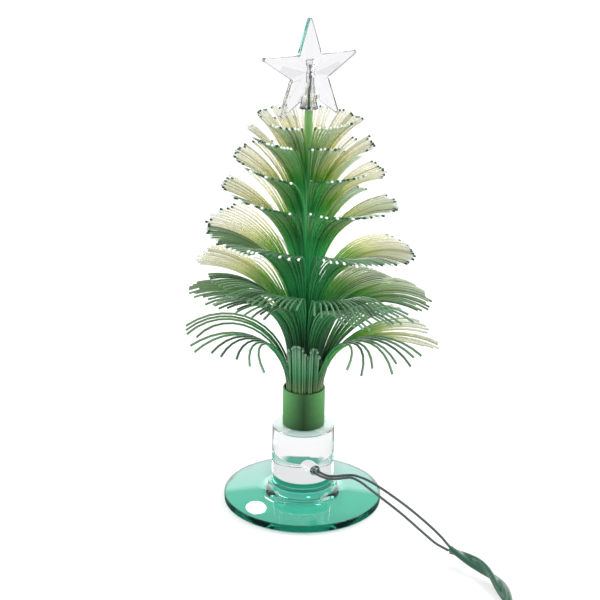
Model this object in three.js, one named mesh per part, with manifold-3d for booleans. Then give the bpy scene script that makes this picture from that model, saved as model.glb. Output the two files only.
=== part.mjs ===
// A fibre optic tree lamp for a table. A clear block with a small LED in its side stands on a green
// glass foot. A thin collar pushes over the block and holds the polished end of a bundle of plastic
// fibres, which fan out in eight tiers round a stem. A clear star sits in a socket that turns on the
// stem's pin. Two thin wires leave the block and join a flat flex, wound into a tied coil.
// Millimetres, +Z up, the origin under the middle of the foot, the front towards -Y.
import * as THREE from "three";
import { mergeVertices } from "three/addons/utils/BufferGeometryUtils.js";
import Module from "manifold-3d";

const wasm = await Module();
wasm.setup();

// Fits
const gap = 0.3;
const overrun = 2;

// Foot: pressed glass with a flared neck and a recess underneath
const footRadius = 32.5;
const footEdgeHeight = 3.7;
const footEdgeRounding = 1.7;
const footTopRise = 1.0;
const footRecessRadius = 6.5;
const footRecessDepth = 5;
const neckRadius = 12.25;
const neckTop = 12;
const neckFlare = 6.5;

// Light block
const blockRadius = 12.75;
const blockHeight = 21.7;
const blockRimRounding = 0.9;
const blockChamfer = 0.4;
const spigotRadius = 7.7;
const spigotHeight = 6;

// Bore in the block's side, with the LED, its legs and the seal
const outletHeight = 18.3;
const outletAngle = THREE.MathUtils.degToRad(-67);
const ledBoreRadius = 2.2;
const ledBoreDepth = 9.2;
const ledRadius = 1.5;
const ledFlangeRadius = 1.9;
const ledFlangeThickness = 0.9;
const ledLength = 5.2;
const ledLegThickness = 0.5;
const ledLegSpacing = 1.5;
const ledLongLeg = 1.6;
const ledShortLeg = 1.3;
const sealRadius = 1.9;
const sealLength = 2.4;
const sealNose = 1.2;
const sealNoseRadius = 1.75;

// Wires and flex
const wireRadius = 0.5;
const flexWidth = 4.8;
const flexThickness = 2.4;

// Collar, polished end of the bundle, and stem
const collarRadius = 8.6;
const collarWall = 0.6;
const collarTop = 50.5;
const bundleEndLength = 5.7;
const stemRadius = 1.6;
const stemTop = 167;
const stemChamfer = 0.4;
const pinRadius = 0.6;
const pinLength = 16.7;

// Fibres
const fibreWidth = 0.6;
const fibreBendPerStep = THREE.MathUtils.degToRad(39.5);
const frondCount = 6;
const frondTurn = THREE.MathUtils.degToRad(30);
const rootBelowCollarTop = 0.5;
const bareStemLength = 38;
const bundleOverTopRoot = 3;
const lowestRoot = collarTop - rootBelowCollarTop;
const highestRoot = stemTop - bareStemLength;
const spreadRadius = 52.3;
const bundleTop = highestRoot + bundleOverTopRoot;
const bundleSides = 19;
const sliceLead = 1;
const frondFanAngle = THREE.MathUtils.degToRad(46);
const tierRootShares = [0, 0.177, 0.222, 0.392, 0.582, 0.759, 0.899, 1];
const tierReachShares = [1, 0.93, 0.875, 0.805, 0.665, 0.58, 0.472, 0.382];
const tierBendAngles = [125, 116, 101, 95, 78, 73, 62, 54].map(THREE.MathUtils.degToRad);
const tierTiltShares = [0.03, 0.05, 0.08, 0.1, 0.09, 0.1, 0.12, 0.05];
const sidewaysLeanShare = 0.02;
const tierFibreCounts = [7, 7, 6, 6, 6, 5, 5, 4];
const edgeFibreShortShare = 0.07;
const edgeFibreDroopShare = 0.05;

// Star and its socket
const starRadius = 21;
const starCornerRadius = 8.3;
const starOverStem = 13.8;
const starCentreHeight = stemTop + starOverStem;
const starEdgeThickness = 2.6;
const starRidgeThickness = 6.4;
const starTipRounding = 1.2;
const starPoints = 5;
const starYaw = THREE.MathUtils.degToRad(27);
const starBossRadius = 2.5;
const socketBellRadius = 3.7;
const socketBellHeight = 5;
const socketBellShoulder = 2.6;
const socketSpigotRadius = 1.5;
const socketSpigotLength = 14;
const socketMouthDepth = 0.7;
const capThickness = 0.6;

// Coil of flex and its tie
const coilCentre = new THREE.Vector2(45, -133);
const coilOuterRadius = 34;
const coilTurns = 5.5;
const coilStepsPerTurn = 24;
const coilTurnPitch = 5.3;
const coilLayerPitch = 2.9;
const coilSectionSides = 6;
const tieThickness = 0.5;
const tieWidth = 5;
const tieClearance = 0.4;
const tieRounding = 1.2;

// Plug on the end of the flex
const plugPlace = new THREE.Vector2(-4, -108);
const plugWidth = 15.6;
const plugHeight = 7.8;
const plugLength = 21;
const plugRounding = 2.2;
const plugEdge = 0.7;
const reliefLength = 9;
const reliefBackWidth = 5.8;
const reliefFrontWidth = 8.2;
const reliefFlatnessShare = 0.7;
const reliefGroove = 0.5;
const reliefRings = 3;
const shellWidth = 12;
const shellHeight = 4.5;
const shellWall = 0.3;
const shellLength = 12;
const shellRounding = 0.5;
const shellWindow = 2;
const shellWindowSpacing = 5;
const shellWindowInset = 5;
const tongueThickness = 1.8;
const tongueSetBack = 0.8;
const contactCount = 4;
const contactWidth = 1;
const contactThickness = 0.3;
const contactPitch = 2.3;
const contactSetBack = 1;

// Finishes
const greenGlass = new THREE.MeshStandardMaterial({
  color: 0x5fcdb0, roughness: 0.08, metalness: 0, transparent: true, opacity: 0.7 });
const clearPlastic = new THREE.MeshStandardMaterial({
  color: 0xf2f3f6, roughness: 0.06, metalness: 0, transparent: true, opacity: 0.4 });
const collarGreen = new THREE.MeshStandardMaterial({ color: 0x4b7d4b, roughness: 0.45, metalness: 0 });
const fibreGreen = new THREE.MeshStandardMaterial({ color: 0x2f7a4a, roughness: 0.35, metalness: 0 });
const fibreTip = new THREE.MeshStandardMaterial({ color: 0xc9cf9a, roughness: 0.35, metalness: 0 });
const stemGreen = new THREE.MeshStandardMaterial({ color: 0x6aa565, roughness: 0.4, metalness: 0 });
const wireGrey = new THREE.MeshStandardMaterial({ color: 0x6d7375, roughness: 0.5, metalness: 0 });
const flexGreen = new THREE.MeshStandardMaterial({ color: 0x2d6e55, roughness: 0.5, metalness: 0 });
const plugGreen = new THREE.MeshStandardMaterial({ color: 0x2a5f4b, roughness: 0.6, metalness: 0 });
const steel = new THREE.MeshStandardMaterial({ color: 0xc4c7ca, roughness: 0.3, metalness: 1 });
const gold = new THREE.MeshStandardMaterial({ color: 0xd8b25a, roughness: 0.3, metalness: 1 });
const tongueWhite = new THREE.MeshStandardMaterial({ color: 0xe8e9e6, roughness: 0.5, metalness: 0 });

const part = new THREE.Group();

function addMesh(parent, name, geometry, material) {
  const mesh = new THREE.Mesh(geometry, material);
  mesh.name = name;
  parent.add(mesh);
  return mesh;
}

// A closed geometry with shared corners, no empty faces, and its faces pointing out
function closed(geometry) {
  const bare = geometry.clone();
  bare.deleteAttribute("normal");
  bare.deleteAttribute("uv");
  const merged = mergeVertices(bare);
  const place = merged.attributes.position;
  const corners = merged.index.array;
  const kept = [];
  let volume = 0;
  for (let i = 0; i < corners.length; i += 3) {
    const [a, b, c] = [corners[i], corners[i + 1], corners[i + 2]];
    if (a === b || b === c || c === a) continue;
    kept.push(a, b, c);
    const [p, q, r] = [a, b, c].map((k) => new THREE.Vector3().fromBufferAttribute(place, k));
    volume += p.dot(q.cross(r));
  }
  if (volume < 0) kept.reverse();
  merged.setIndex(kept);
  return merged;
}

function solidOf(geometry) {
  const ready = closed(geometry);
  return new wasm.Manifold(new wasm.Mesh({
    numProp: 3,
    vertProperties: new Float32Array(ready.attributes.position.array),
    triVerts: new Uint32Array(ready.index.array),
  }));
}

function geometryOf(solid) {
  const mesh = solid.getMesh();
  const geometry = new THREE.BufferGeometry();
  geometry.setAttribute("position", new THREE.BufferAttribute(mesh.vertProperties, 3));
  geometry.setIndex(new THREE.BufferAttribute(mesh.triVerts, 1));
  geometry.computeVertexNormals();
  return geometry;
}

// A profile of (radius, height) turned about the Z axis
function turned(profile, segments, arcSteps = 3) {
  const points = profile instanceof THREE.Path ? profile.getPoints(arcSteps) : profile;
  return closed(new THREE.LatheGeometry(points, segments).rotateX(Math.PI / 2));
}

function cylinder(radius, low, high, segments) {
  const length = high - low;
  return new THREE.CylinderGeometry(radius, radius, length, segments)
    .rotateX(Math.PI / 2)
    .translate(0, 0, low + length / 2);
}

function box(sizeX, sizeY, sizeZ, x, y, z) {
  return new THREE.BoxGeometry(sizeX, sizeY, sizeZ).translate(x, y, z);
}

function roundedRectangle(shape, width, height, radius) {
  const [x, y] = [width / 2, height / 2];
  shape.moveTo(radius - x, -y);
  shape.lineTo(x - radius, -y);
  shape.absarc(x - radius, radius - y, radius, -Math.PI / 2, 0);
  shape.lineTo(x, y - radius);
  shape.absarc(x - radius, y - radius, radius, 0, Math.PI / 2);
  shape.lineTo(radius - x, y);
  shape.absarc(radius - x, y - radius, radius, Math.PI / 2, Math.PI);
  shape.lineTo(-x, radius - y);
  shape.absarc(radius - x, radius - y, radius, Math.PI, 1.5 * Math.PI);
  return shape;
}

// A section of equal steps round an ellipse
function ellipseSection(sides, halfX, halfY) {
  const points = [];
  for (let i = 0; i < sides; i += 1) {
    const angle = (2 * Math.PI * i) / sides;
    points.push(new THREE.Vector2(halfX * Math.cos(angle), halfY * Math.sin(angle)));
  }
  return points;
}

function tubeAlong(points, section, steps) {
  const path = new THREE.CatmullRomCurve3(points.map((p) => new THREE.Vector3(...p)));
  return closed(new THREE.ExtrudeGeometry(new THREE.Shape(section), {
    steps, extrudePath: path, bevelEnabled: false }));
}

// Forms built from rings of points, each ring counterclockwise as seen from the end of its run. The
// faces between the rings and over their ends are lists of corners, three to a face.
function skin(rings) {
  const corners = [];
  for (let i = 1; i < rings.length; i += 1) {
    rings[i].forEach((point, k) => {
      const next = (k + 1) % rings[i].length;
      const [before, beside, across] = [rings[i - 1][k], rings[i - 1][next], rings[i][next]];
      corners.push(before, beside, across, before, across, point);
    });
  }
  return corners;
}

function endCap(ring) {
  const corners = [];
  for (let k = 2; k < ring.length; k += 1) corners.push(ring[0], ring[k - 1], ring[k]);
  return corners;
}

function geometryFrom(corners) {
  return closed(new THREE.BufferGeometry().setFromPoints(corners));
}

// Foot
function makeFoot() {
  const profile = new THREE.Path();
  const edge = footRadius - footEdgeRounding;
  const flareStart = neckRadius + neckFlare;
  const flareHeight = footEdgeHeight + footTopRise;
  profile.moveTo(0, footRecessDepth);
  profile.lineTo(footRecessRadius, footRecessDepth);
  profile.lineTo(footRecessRadius, 0);
  profile.lineTo(edge, 0);
  profile.absarc(edge, footEdgeRounding, footEdgeRounding, -Math.PI / 2, 0);
  profile.lineTo(footRadius, footEdgeHeight - footEdgeRounding);
  profile.absarc(edge, footEdgeHeight - footEdgeRounding, footEdgeRounding, 0, Math.PI / 2);
  profile.lineTo(flareStart, flareHeight);
  profile.quadraticCurveTo(neckRadius, flareHeight, neckRadius, neckTop);
  profile.lineTo(0, neckTop);
  return turned(profile, 56, 4);
}
addMesh(part, "base_foot", makeFoot(), greenGlass);

// Light block, bored from the side for the LED
const blockBottom = neckTop + gap;
const blockTop = blockBottom + blockHeight;
const spigotTop = blockTop + spigotHeight;

function pointOutwards(geometry) {
  return geometry.rotateY(Math.PI / 2).rotateZ(outletAngle).translate(0, 0, outletHeight);
}

function makeLightBlock() {
  const profile = new THREE.Path();
  profile.moveTo(0, blockBottom);
  profile.lineTo(blockRadius - blockChamfer, blockBottom);
  profile.lineTo(blockRadius, blockBottom + blockChamfer);
  profile.lineTo(blockRadius, blockTop - blockRimRounding);
  profile.absarc(blockRadius - blockRimRounding, blockTop - blockRimRounding, blockRimRounding,
    0, Math.PI / 2);
  profile.lineTo(spigotRadius, blockTop);
  profile.lineTo(spigotRadius, spigotTop - blockChamfer);
  profile.lineTo(spigotRadius - blockChamfer, spigotTop);
  profile.lineTo(0, spigotTop);
  const bore = pointOutwards(cylinder(ledBoreRadius, blockRadius - ledBoreDepth,
    blockRadius + overrun, 20));
  return geometryOf(solidOf(turned(profile, 48)).subtract(solidOf(bore)));
}
addMesh(part, "light_block", makeLightBlock(), clearPlastic);

// LED, its two legs and the seal round the wires, all along the bore, +X pointing out of the block
const outlet = new THREE.Group();
outlet.rotation.z = outletAngle;
outlet.position.z = outletHeight;
part.add(outlet);

const ledTip = blockRadius - ledBoreDepth + gap;
const ledBase = ledTip + ledLength;
const legStart = ledBase + gap;
const sealStart = blockRadius - sealLength + gap;

function alongX(geometry) {
  return geometry.rotateY(Math.PI / 2);
}

function makeLed() {
  const profile = new THREE.Path();
  profile.moveTo(0, ledBase);
  profile.lineTo(ledFlangeRadius, ledBase);
  profile.lineTo(ledFlangeRadius, ledBase - ledFlangeThickness);
  profile.lineTo(ledRadius, ledBase - ledFlangeThickness);
  profile.lineTo(ledRadius, ledTip + ledRadius);
  profile.absarc(0, ledTip + ledRadius, ledRadius, 0, -Math.PI / 2, true);
  return alongX(turned(profile, 20, 4));
}
addMesh(outlet, "led_body", makeLed(), clearPlastic);

function makeLeg(length, side) {
  return box(length, ledLegThickness, ledLegThickness, legStart + length / 2,
    (side * ledLegSpacing) / 2, 0);
}
addMesh(outlet, "led_leg_long", makeLeg(ledLongLeg, 1), steel);
addMesh(outlet, "led_leg_short", makeLeg(ledShortLeg, -1), steel);

function makeSeal() {
  const noseEnd = blockRadius + sealNose;
  const profile = [
    new THREE.Vector2(0, sealStart),
    new THREE.Vector2(sealRadius, sealStart),
    new THREE.Vector2(sealRadius, blockRadius),
    new THREE.Vector2(sealNoseRadius, noseEnd),
    new THREE.Vector2(0, noseEnd),
  ];
  const slot = new THREE.Shape();
  const slotHeight = 2 * (wireRadius + gap);
  roundedRectangle(slot, slotHeight, slotHeight + ledLegSpacing, wireRadius);
  const cut = new THREE.ExtrudeGeometry(slot, {
    depth: sealLength + sealNose + 2 * overrun, bevelEnabled: false, curveSegments: 3 });
  cut.translate(0, 0, sealStart - overrun);
  const seal = solidOf(turned(profile, 20)).subtract(solidOf(cut));
  return alongX(geometryOf(seal));
}
addMesh(outlet, "outlet_seal", makeSeal(), clearPlastic);

// Wires: the middle line between the two, and how far apart they run beside it, as shares of the most
const wireRoute = [
  [4.6, -10.9, 18.3], [5.1, -12.0, 18.3], [5.9, -13.4, 18.2], [8.0, -14.9, 17.7],
  [10.8, -15.5, 17.1], [14.0, -15.2, 17.0], [17.2, -14.7, 17.2], [20.5, -15.5, 17.6],
  [24.1, -18.6, 17.6], [27.8, -22.8, 17.1], [33.4, -28.9, 15.7], [40.7, -36.3, 13.2],
  [48.0, -44.6, 10.3], [52.8, -50.0, 8.1], [55.4, -52.4, 6.9], [57.2, -53.9, 6.05],
];
const wireSpread = 3.9;
const wireLift = 1.4;
const wireSpreadShares = [
  0.36, 0.36, 0.36, 0.36, 0.36, 0.36, 0.36, 0.38, 0.55, 0.76, 0.9, 0.98, 1.02, 0.92, 0.62, 0.36,
];

function makeWire(side) {
  const route = wireRoute.map((point) => new THREE.Vector3(...point));
  const points = route.map((point, i) => {
    const before = route[Math.max(i - 1, 0)];
    const after = route[Math.min(i + 1, route.length - 1)];
    const left = new THREE.Vector3(before.y - after.y, after.x - before.x, 0).normalize();
    const half = (side * wireSpreadShares[i]) / 2;
    left.multiplyScalar(half * wireSpread);
    return point.clone().add(left).add(new THREE.Vector3(0, 0, half * wireLift)).toArray();
  });
  return tubeAlong(points, ellipseSection(8, wireRadius, wireRadius), 34);
}
addMesh(part, "wire_front", makeWire(-1), wireGrey);
addMesh(part, "wire_back", makeWire(1), wireGrey);

// Flex: out of the wires, round the coil and on to the plug
const coilLow = tieThickness + gap + flexThickness / 2;
const coilHigh = coilLow + coilLayerPitch;
const coilInnerRadius = coilOuterRadius - (coilTurnPitch * coilTurns) / 2;
const coilEast = coilCentre.x + coilOuterRadius;
const coilWest = coilCentre.x - coilOuterRadius;
const coilEnds = coilCentre.y + flexWidth;
const plugAxisHeight = plugHeight / 2 + gap;

const leadRoute = [
  [57.5, -54.15, 5.95], [60.4, -55.9, 5.4], [64.0, -59.0, 4.8], [67.5, -62.6, 4.3],
  [70.6, -66.9, 3.9], [73.0, -71.6, 3.5], [74.6, -76.3, 3.1], [75.9, -81.6, 2.8],
  [76.9, -86.4, 2.6], [77.6, -92.0, 2.3], [78.1, -99.0, 2.1], [78.5, -106.0, 2.0],
  [78.8, -114.0, 2.0], [79.0, -121.0, 2.0], [coilEast, coilEnds + gap, coilLow],
];
const tailRoute = [
  [coilWest, coilEnds + gap, coilHigh], [11.0, -125.4, 4.8], [11.0, -120.6, 4.3],
  [10.1, -115.4, 3.7], [7.5, -111.5, 3.3], [3.6, -108.9, 3.4], [0.4, -108.1, 3.8],
  [plugPlace.x + flexThickness, plugPlace.y, plugAxisHeight],
  [plugPlace.x + gap, plugPlace.y, plugAxisHeight],
];
const flexSection = ellipseSection(8, flexThickness / 2, flexWidth / 2);
addMesh(part, "flex_lead", tubeAlong(leadRoute, flexSection, 30), flexGreen);
addMesh(part, "flex_tail", tubeAlong(tailRoute, flexSection, 12), flexGreen);

// The coil winds clockwise from its east side: in on the lower layer, up where it reverses, and out
function coilPoint(turn) {
  const middle = coilTurns / 2;
  const radius = coilInnerRadius + coilTurnPitch * Math.abs(turn - middle);
  const rise = THREE.MathUtils.smoothstep(turn, middle - 0.25, middle + 0.25);
  const angle = -2 * Math.PI * turn;
  return new THREE.Vector3(
    coilCentre.x + radius * Math.cos(angle),
    coilCentre.y + radius * Math.sin(angle),
    coilLow + coilLayerPitch * rise,
  );
}

function coilLine() {
  const line = [new THREE.Vector3(coilEast, coilEnds, coilLow)];
  const steps = coilTurns * coilStepsPerTurn;
  for (let i = 0; i <= steps; i += 1) line.push(coilPoint(i / coilStepsPerTurn));
  line.push(new THREE.Vector3(coilWest, coilEnds, coilHigh));
  return line;
}

// Rings of the flat flex along the line, each level and square to its run
function coilRings() {
  const up = new THREE.Vector3(0, 0, 1);
  const section = ellipseSection(coilSectionSides, flexWidth / 2, flexThickness / 2);
  const line = coilLine();
  return line.map((centre, i) => {
    const ahead = line[Math.min(i + 1, line.length - 1)].clone().sub(line[Math.max(i - 1, 0)]);
    const left = up.clone().cross(ahead).normalize();
    return section.map((s) => centre.clone().addScaledVector(left, s.x).addScaledVector(up, s.y));
  });
}

function makeCoil() {
  const rings = coilRings();
  const start = endCap([...rings[0]].reverse());
  return geometryFrom([...start, ...skin(rings), ...endCap(rings[rings.length - 1])]);
}

// The least distance between points of turns that lie beside or over each other
function leastCoilGap() {
  const rings = coilRings();
  const apart = coilStepsPerTurn / 2;
  let least = Infinity;
  rings.forEach((ring, i) => rings.slice(i + apart).forEach((other) => {
    ring.forEach((p) => other.forEach((q) => {
      least = Math.min(least, p.distanceTo(q));
    }));
  }));
  return least;
}
addMesh(part, "flex_coil", makeCoil(), flexGreen);
console.log(`least gap between the coil's turns: ${leastCoilGap().toFixed(2)} mm`);

// Tie round the coil's bundle of turns, on the side away from the lamp
function makeTie() {
  const quarter = coilTurns / 2 - 0.5;
  const inner = coilInnerRadius + coilTurnPitch * 0.5 - flexWidth / 2 - tieClearance;
  const outer = coilInnerRadius + coilTurnPitch * quarter + (coilTurnPitch / 2) * 1.0
    + flexWidth / 2 + tieClearance;
  const holeWidth = outer - inner;
  const holeHeight = coilLayerPitch + flexThickness + 2 * gap;
  const strap = new THREE.Shape();
  roundedRectangle(strap, holeWidth + 2 * tieThickness, holeHeight + 2 * tieThickness,
    tieRounding + tieThickness);
  strap.holes.push(roundedRectangle(new THREE.Path(), holeWidth, holeHeight, tieRounding));
  const geometry = new THREE.ExtrudeGeometry(strap, {
    depth: tieWidth, bevelEnabled: false, curveSegments: 3 });
  geometry.translate(0, 0, -tieWidth / 2).rotateX(Math.PI / 2).rotateZ(Math.PI / 2);
  const middle = (inner + outer) / 2;
  geometry.translate(coilCentre.x, coilCentre.y - middle, (coilLow + coilHigh) / 2);
  return closed(geometry);
}
addMesh(part, "coil_tie", makeTie(), plugGreen);

// Plug, laid flat beside the coil, its mouth pointing to -X
const plug = new THREE.Group();
plug.position.set(plugPlace.x, plugPlace.y, plugAxisHeight);
plug.rotation.z = Math.PI;
part.add(plug);

function makeRelief() {
  const points = [new THREE.Vector2(0, 0), new THREE.Vector2(reliefBackWidth / 2, 0)];
  const step = reliefLength / (3 * reliefRings);
  for (let ring = 0; ring < reliefRings; ring += 1) {
    [1, 2, 3].forEach((part3) => {
      const along = step * (3 * ring + part3);
      const half = THREE.MathUtils.lerp(reliefBackWidth, reliefFrontWidth, along / reliefLength) / 2;
      points.push(new THREE.Vector2(part3 === 2 ? half - reliefGroove : half, along));
    });
  }
  points.push(new THREE.Vector2(0, reliefLength));
  return alongX(turned(points, 16)).scale(1, 1, reliefFlatnessShare);
}
addMesh(plug, "plug_relief", makeRelief(), plugGreen);

const bodyStart = reliefLength + gap;
const shellStart = bodyStart + plugLength + gap;

function makePlugBody() {
  const section = new THREE.Shape();
  roundedRectangle(section, plugHeight - 2 * plugEdge, plugWidth - 2 * plugEdge, plugRounding);
  const geometry = new THREE.ExtrudeGeometry(section, {
    depth: plugLength - 2 * plugEdge, bevelEnabled: true, bevelThickness: plugEdge,
    bevelSize: plugEdge, bevelSegments: 2, curveSegments: 3 });
  return closed(alongX(geometry.translate(0, 0, bodyStart + plugEdge)));
}
addMesh(plug, "plug_body", makePlugBody(), plugGreen);

function makeShell() {
  const section = new THREE.Shape();
  roundedRectangle(section, shellHeight, shellWidth, shellRounding);
  const inside = new THREE.Path();
  roundedRectangle(inside, shellHeight - 2 * shellWall, shellWidth - 2 * shellWall,
    shellRounding - shellWall);
  section.holes.push(inside);
  const tube = alongX(new THREE.ExtrudeGeometry(section, {
    depth: shellLength, bevelEnabled: false, curveSegments: 2 }).translate(0, 0, shellStart));
  let shell = solidOf(tube);
  [-1, 1].forEach((side) => {
    const window = box(shellWindow, shellWindow, overrun, shellStart + shellWindowInset,
      (side * shellWindowSpacing) / 2, shellHeight / 2);
    shell = shell.subtract(solidOf(window));
  });
  return geometryOf(shell);
}
addMesh(plug, "plug_shell", makeShell(), steel);

const tongueLength = shellLength - tongueSetBack;
const tongueTop = shellHeight / 2 - shellWall - gap;
const tongueUnder = tongueTop - tongueThickness;
const tongueWidth = shellWidth - 2 * (shellWall + gap);
addMesh(plug, "plug_tongue", box(tongueLength, tongueWidth, tongueThickness,
  shellStart + tongueLength / 2, 0, tongueTop - tongueThickness / 2), tongueWhite);

const contactLength = tongueLength - 2 * contactSetBack;
for (let i = 0; i < contactCount; i += 1) {
  const across = (i - (contactCount - 1) / 2) * contactPitch;
  addMesh(plug, `plug_contact_${i + 1}`, box(contactLength, contactWidth, contactThickness,
    shellStart + tongueLength / 2, across, tongueUnder - gap - contactThickness / 2), gold);
}

// Collar, polished end of the bundle, and stem
const collarBottom = blockTop + gap;
const collarBore = collarRadius - collarWall;
addMesh(part, "collar", turned([
  new THREE.Vector2(collarBore, collarBottom),
  new THREE.Vector2(collarRadius, collarBottom),
  new THREE.Vector2(collarRadius, collarTop),
  new THREE.Vector2(collarBore, collarTop),
  new THREE.Vector2(collarBore, collarBottom),
], 48), collarGreen);

const bundleEndBottom = spigotTop + gap;
const bundleEndTop = bundleEndBottom + bundleEndLength;
addMesh(part, "bundle_end", cylinder(collarBore - gap, bundleEndBottom, bundleEndTop, 40), fibreTip);

const stemBottom = bundleEndTop + gap;
const pinTop = stemTop + pinLength;
addMesh(part, "stem_rod", turned([
  new THREE.Vector2(0, stemBottom),
  new THREE.Vector2(stemRadius, stemBottom),
  new THREE.Vector2(stemRadius, stemTop - stemChamfer),
  new THREE.Vector2(stemRadius - stemChamfer, stemTop),
  new THREE.Vector2(pinRadius, stemTop),
  new THREE.Vector2(pinRadius, pinTop),
  new THREE.Vector2(0, pinTop),
], 20), stemGreen);

// Fibres. The bundle steps in at every tier by the fibres that leave it there. Each of these rises
// straight from the step, bends outwards evenly and ends square.
const fibreInradius = fibreWidth / (2 * Math.sqrt(3));
const bundleRadius = collarBore - gap;
const bundleStep = (bundleRadius - stemRadius - 3 * gap) / tierRootShares.length;

const tiers = tierRootShares.map((share, i) => {
  const outerRadius = bundleRadius - bundleStep * i;
  const rootRadius = outerRadius - bundleStep + 1.1 * fibreInradius;
  const bend = tierBendAngles[i];
  return {
    rootHeight: THREE.MathUtils.lerp(lowestRoot, highestRoot, share),
    outerRadius,
    rootRadius,
    bend,
    tilt: tierTiltShares[i],
    bendRadius: (spreadRadius * tierReachShares[i] - rootRadius) / (1 - Math.cos(bend)),
    fibres: tierFibreCounts[i],
  };
});

function bundleRing(radius, height) {
  const ring = [];
  for (let i = 0; i < bundleSides; i += 1) {
    const angle = (2 * Math.PI * i) / bundleSides;
    ring.push(new THREE.Vector3(radius * Math.cos(angle), radius * Math.sin(angle), height));
  }
  return ring;
}

// Three-sided rings along one fibre, which stands at side = -1 to 1 across its frond
function fibreRings(tier, middle, side) {
  const rings = [];
  const steps = Math.ceil(tier.bend / fibreBendPerStep);
  const rootOffset = (side * Math.PI * (tier.fibres - 1)) / tier.fibres / frondCount;
  const tipOffset = (side * frondFanAngle) / 2;
  const lean = 1 + sidewaysLeanShare * Math.cos(middle);
  const bendRadius = tier.bendRadius * lean * (1 - edgeFibreDroopShare * side * side);
  const bend = tier.bend * (1 - edgeFibreShortShare * side * side);
  for (let i = 0; i <= steps; i += 1) {
    const share = i / steps;
    const angle = bend * share;
    const azimuth = middle + THREE.MathUtils.lerp(rootOffset, tipOffset, share * share);
    const reach = bendRadius * (1 - Math.cos(angle));
    const radius = tier.rootRadius + reach;
    const drop = tier.tilt * reach * Math.cos(azimuth);
    const height = tier.rootHeight + bendRadius * Math.sin(angle) - drop;
    const outward = new THREE.Vector3(Math.cos(azimuth), Math.sin(azimuth), 0);
    const across = new THREE.Vector3(-outward.y, outward.x, 0);
    const outerSide = outward.clone().multiplyScalar(Math.cos(angle)).setZ(-Math.sin(angle));
    const centre = outward.clone().multiplyScalar(radius).setZ(height);
    rings.push([[0, 2], [1, -1], [-1, -1]].map(([x, y]) => centre.clone()
      .addScaledVector(across, (x * fibreWidth) / 2)
      .addScaledVector(outerSide, y * fibreInradius)));
  }
  return rings;
}

function tierFibres(tier) {
  const fibres = [];
  for (let frond = 0; frond < frondCount; frond += 1) {
    const middle = (2 * Math.PI * frond) / frondCount + frondTurn - Math.PI / 2;
    for (let i = 0; i < tier.fibres; i += 1) {
      fibres.push(fibreRings(tier, middle, (2 * i) / (tier.fibres - 1) - 1));
    }
  }
  return fibres;
}

// The step of the bundle at a tier, open where its fibres rise
function bundleStepFace(outerRing, innerRing, fibres) {
  const flat = (ring) => ring.map((p) => new THREE.Vector2(p.x, p.y));
  const step = new THREE.Shape(flat(outerRing));
  step.holes.push(new THREE.Path(flat(innerRing)));
  fibres.forEach((rings) => step.holes.push(new THREE.Path(flat(rings[0]))));
  const face = new THREE.ShapeGeometry(step).toNonIndexed().attributes.position;
  const corners = [];
  for (let i = 0; i < face.count; i += 1) {
    corners.push(new THREE.Vector3().fromBufferAttribute(face, i).setZ(outerRing[0].z));
  }
  return corners;
}

function makeFibreSlice(low, high, ownTiers) {
  const bore = stemRadius + gap;
  const corners = [];
  let ring = bundleRing(ownTiers[0].outerRadius, low);
  corners.push(...skin([bundleRing(bore, low), ring]));
  ownTiers.forEach((tier) => {
    const stepOuter = bundleRing(tier.outerRadius, tier.rootHeight);
    const stepInner = bundleRing(tier.outerRadius - bundleStep, tier.rootHeight);
    const fibres = tierFibres(tier);
    corners.push(...skin([ring, stepOuter]), ...bundleStepFace(stepOuter, stepInner, fibres));
    fibres.forEach((rings) => corners.push(...skin(rings), ...endCap(rings[rings.length - 1])));
    ring = stepInner;
  });
  const topRing = bundleRing(ownTiers[ownTiers.length - 1].outerRadius - bundleStep, high);
  corners.push(...skin([ring, topRing, bundleRing(bore, high), bundleRing(bore, low)]));
  return geometryFrom(corners);
}

["fibres_bottom", "fibres_lower", "fibres_upper", "fibres_top"].forEach((name, i) => {
  const own = tiers.slice(2 * i, 2 * i + 2);
  const next = tiers[2 * i + 2];
  const low = i === 0 ? stemBottom : own[0].rootHeight - sliceLead + gap;
  const high = next ? next.rootHeight - sliceLead : bundleTop;
  addMesh(part, name, makeFibreSlice(low, high, own), fibreGreen);
});

// Socket: turns on the stem's pin, with a bell below and a spigot that the star pushes over
const bellBottom = stemTop + gap - socketMouthDepth;
const bellTop = bellBottom + socketBellHeight;
const socketTop = bellTop + socketSpigotLength;
addMesh(part, "star_socket", turned([
  new THREE.Vector2(0, pinTop + gap),
  new THREE.Vector2(pinRadius + gap, pinTop + gap),
  new THREE.Vector2(pinRadius + gap, stemTop + gap),
  new THREE.Vector2(stemRadius + gap, stemTop + gap),
  new THREE.Vector2(socketBellRadius - capThickness, bellBottom),
  new THREE.Vector2(socketBellRadius, bellBottom),
  new THREE.Vector2(socketBellShoulder, bellTop),
  new THREE.Vector2(socketSpigotRadius, bellTop),
  new THREE.Vector2(socketSpigotRadius, socketTop),
  new THREE.Vector2(0, socketTop),
], 24), clearPlastic);

// Star: a ten-sided turned form whose corners are drawn in and whose tips are rounded
function starOutline() {
  const outline = [];
  const at = (radius, angle) => new THREE.Vector2(radius * Math.cos(angle), radius * Math.sin(angle));
  for (let i = 0; i < starPoints; i += 1) {
    const angle = Math.PI / 2 + (2 * Math.PI * i) / starPoints;
    const half = Math.PI / starPoints;
    const tip = at(starRadius, angle);
    const [before, after] = [at(starCornerRadius, angle - half), at(starCornerRadius, angle + half)];
    const cut = starTipRounding / tip.distanceTo(before);
    outline.push(tip.clone().lerp(before, cut));
    outline.push(tip.clone().setLength(starRadius - starTipRounding / 3));
    outline.push(tip.clone().lerp(after, cut));
    outline.push(after);
  }
  return outline;
}

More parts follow.
